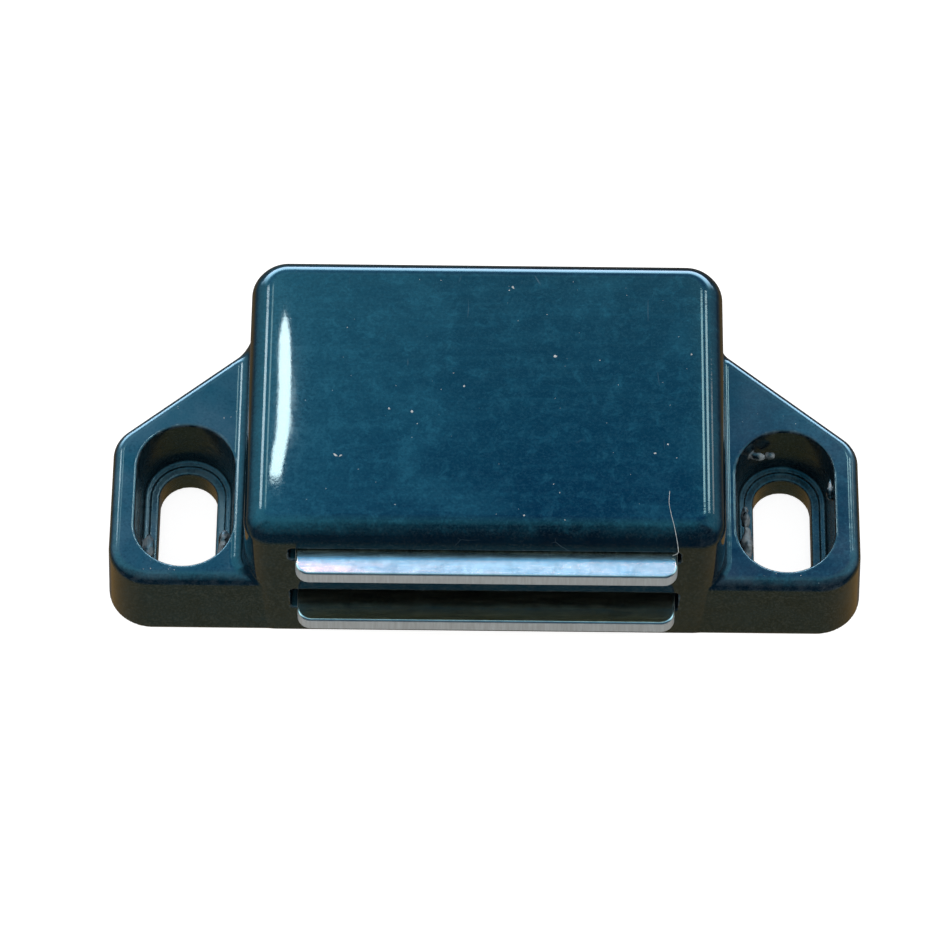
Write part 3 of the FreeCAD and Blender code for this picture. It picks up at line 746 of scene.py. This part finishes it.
def world():
    w = bpy.data.worlds.new("studio")
    scene.world = w
    w.use_nodes = True
    n = Net(w.node_tree)
    out = n.t.nodes.new("ShaderNodeOutputWorld")
    d = n.t.nodes.new("ShaderNodeTexCoord").outputs["Generated"]
    x, y, z = n.xyz(d)
    flat = n.math("SQRT", n.math("ADD", n.math("MULTIPLY", x, x), n.math("MULTIPLY", y, y)))
    yb = n.math("DIVIDE", y, n.math("MAXIMUM", flat, 0.02))
    K = 14.0
    c = lambda r, g, b: (r / K, g / K, b / K)
    zz = n.range(z, -1.0, 1.0)
    p = lambda t: (t + 1) / 2
    ground = c(0.36, 0.21, 0.07)
    back = n.ramp(
        zz, (p(-0.20), c(0.14, 0.12, 0.10)), (p(-0.02), c(0.05, 0.08, 0.20)), (p(0.07), c(0.3, 0.5, 0.9)), (p(0.12), c(12.0, 11.0, 14.0)),
        (p(0.38), c(12.0, 11.0, 14.0)), (p(0.50), c(1.4, 1.9, 3.0)), (p(0.60), c(0.30, 0.62, 1.40)), (p(0.74), c(0.75, 1.10, 1.85)),
        (p(0.816), c(1.25, 1.50, 2.15)), (p(0.828), c(0.65, 1.16, 1.90)), (p(0.842), c(0.20, 0.84, 1.66)), (p(0.856), c(0.10, 0.46, 1.22)),
        (1.0, c(0.4, 0.7, 1.2)),
    )
    side = n.ramp(
        zz, (p(-0.45), ground), (p(-0.10), c(0.10, 0.16, 0.28)), (p(0.1), c(0.35, 0.6, 0.9)), (p(0.5), c(0.8, 1.25, 1.8)),
        (p(0.75), c(0.7, 1.2, 1.8)), (p(0.93), c(0.35, 0.7, 1.2)), (1.0, c(0.5, 0.8, 1.2)),
    )
    front = n.ramp(
        zz, (p(-0.78), ground), (p(-0.50), c(0.04, 0.06, 0.12)), (p(0.55), c(0.03, 0.06, 0.14)),
        (p(0.93), c(0.06, 0.20, 0.38)), (1.0, c(0.5, 0.8, 1.2)),
    )
    col = n.mix(n.range(yb, 0.62, 0.90, 0, 1, "SMOOTHSTEP"), side, back)
    col = n.mix(n.range(yb, -0.05, -0.45, 0, 1, "SMOOTHSTEP"), col, front)
    bg = n.t.nodes.new("ShaderNodeBackground")
    n.put(bg.inputs[0], col)
    bg.inputs[1].default_value = K
    soft = n.t.nodes.new("ShaderNodeBackground")
    soft.inputs[0].default_value = (1, 1, 1, 1)
    soft.inputs[1].default_value = 1.0
    lp = n.t.nodes.new("ShaderNodeLightPath")
    mixer = n.t.nodes.new("ShaderNodeMixShader")
    n.put(mixer.inputs[0], lp.outputs["Is Glossy Ray"])
    n.t.links.new(soft.outputs[0], mixer.inputs[1])
    n.t.links.new(bg.outputs[0], mixer.inputs[2])
    n.t.links.new(mixer.outputs[0], out.inputs[0])


world()


def glow(name, verts, faces, color, strength):
    """A strip light: it lights by reflection only, so it draws highlights without shadows."""
    ob = mesh_object(name, verts, faces)
    mt = bpy.data.materials.new(name)
    mt.use_nodes = True
    n = Net(mt.node_tree)
    out = n.t.nodes.new("ShaderNodeOutputMaterial")
    em = n.t.nodes.new("ShaderNodeEmission")
    em.inputs[0].default_value = (*color, 1)
    em.inputs[1].default_value = strength
    n.t.links.new(em.outputs[0], out.inputs[0])
    ob.data.materials.append(mt)
    ob.visible_camera = ob.visible_diffuse = ob.visible_shadow = False
    ob.visible_transmission = ob.visible_volume_scatter = False
    return ob


VIEW = (Vector((0, 0, 0)) - Vector(cam.matrix_world.translation)).normalized()


def arc_strip(name, side, a0, a1, y_from, y_to, x0, z0, dist, color, strength, steps=16):
    """Strip seen in a rounded edge that runs along Y: the edge's normal leans side * a0..a1 degrees from up,
    and the highlight lies between y_from and y_to on it (millimetres)."""
    verts, faces = [], []
    for i in range(steps + 1):
        a = math.radians(a0 + (a1 - a0) * i / steps)
        nrm = Vector((side * math.sin(a), 0, math.cos(a)))
        for yy in (y_from, y_to):
            p = Vector((x0 * MM, yy * MM, z0 * MM))
            v = (p - Vector(cam.matrix_world.translation)).normalized()
            r = v - 2 * v.dot(nrm) * nrm
            verts.append(p + r * dist)
        if i:
            k = 2 * i
            faces.append((k - 2, k - 1, k + 1, k))
    return glow(name, verts, faces, color, strength)


Y = lambda v: v + OFF
WINDOW = [  # y and the two sides of a window's glare on the crowned left border of the cap
    (20.5, -16.10, -16.04), (19.6, -16.28, -15.78), (18.5, -16.43, -15.58), (16.0, -16.42, -15.46), (13.4, -16.37, -15.38),
    (11.6, -16.38, -15.37), (9.6, -16.42, -15.38), (8.5, -16.52, -15.52), (7.6, -16.64, -15.66), (6.3, -16.72, -15.80), (5.3, -16.80, -15.92),
    (5.05, -16.74, -16.25),
]
glare = []
for yy, xa, xb in WINDOW:
    for k in range(6):
        glare.append((xa + (xb - xa) * k / 5, yy, 14.45))
glare = np.array(glare)
for _ in range(4):
    gr = gradient(glare)
    glare -= (housing_distance(*glare.T) / (gr * gr).sum(1))[:, None] * gr
gr = gradient(glare)
gr /= np.linalg.norm(gr, axis=1)[:, None]
eye = np.array(cam.matrix_world.translation)
pts = to_frame(glare)
ray = pts - eye
ray /= np.linalg.norm(ray, axis=1)[:, None]
ray -= 2 * (ray * gr).sum(1)[:, None] * gr
pts = pts + ray * 0.034
glow(
    "window_left", [tuple(v) for v in pts],
    [(6 * i + k, 6 * i + k + 1, 6 * i + k + 7, 6 * i + k + 6) for i in range(len(WINDOW) - 1) for k in range(5)],
    (1.0, 0.36, 0.36), 74.0,
)
arc_strip("strip_left_a", -1, 4.6, 7.5, Y(1.5), Y(24.2), -17.2, 14.45, 5.0, (1.0, 0.46, 0.48), 14.0)
arc_strip("strip_left_b", -1, 15.5, 21.5, Y(1.2), Y(24.4), -17.4, 14.4, 5.0, (1.0, 0.42, 0.44), 30.0)
arc_strip("strip_right_a", 1, 3.8, 8.0, Y(1.5), Y(24.2), 17.2, 14.45, 5.0, (1.0, 0.48, 0.50), 20.0)
arc_strip("strip_right_b", 1, 14.5, 20.0, Y(1.5), Y(24.0), 17.4, 14.4, 5.0, (1.0, 0.48, 0.50), 20.0)
arc_strip("strip_right_c", 1, 27.0, 31.0, Y(1.5), Y(14.0), 17.5, 14.3, 5.0, (1.0, 0.48, 0.50), 8.0)
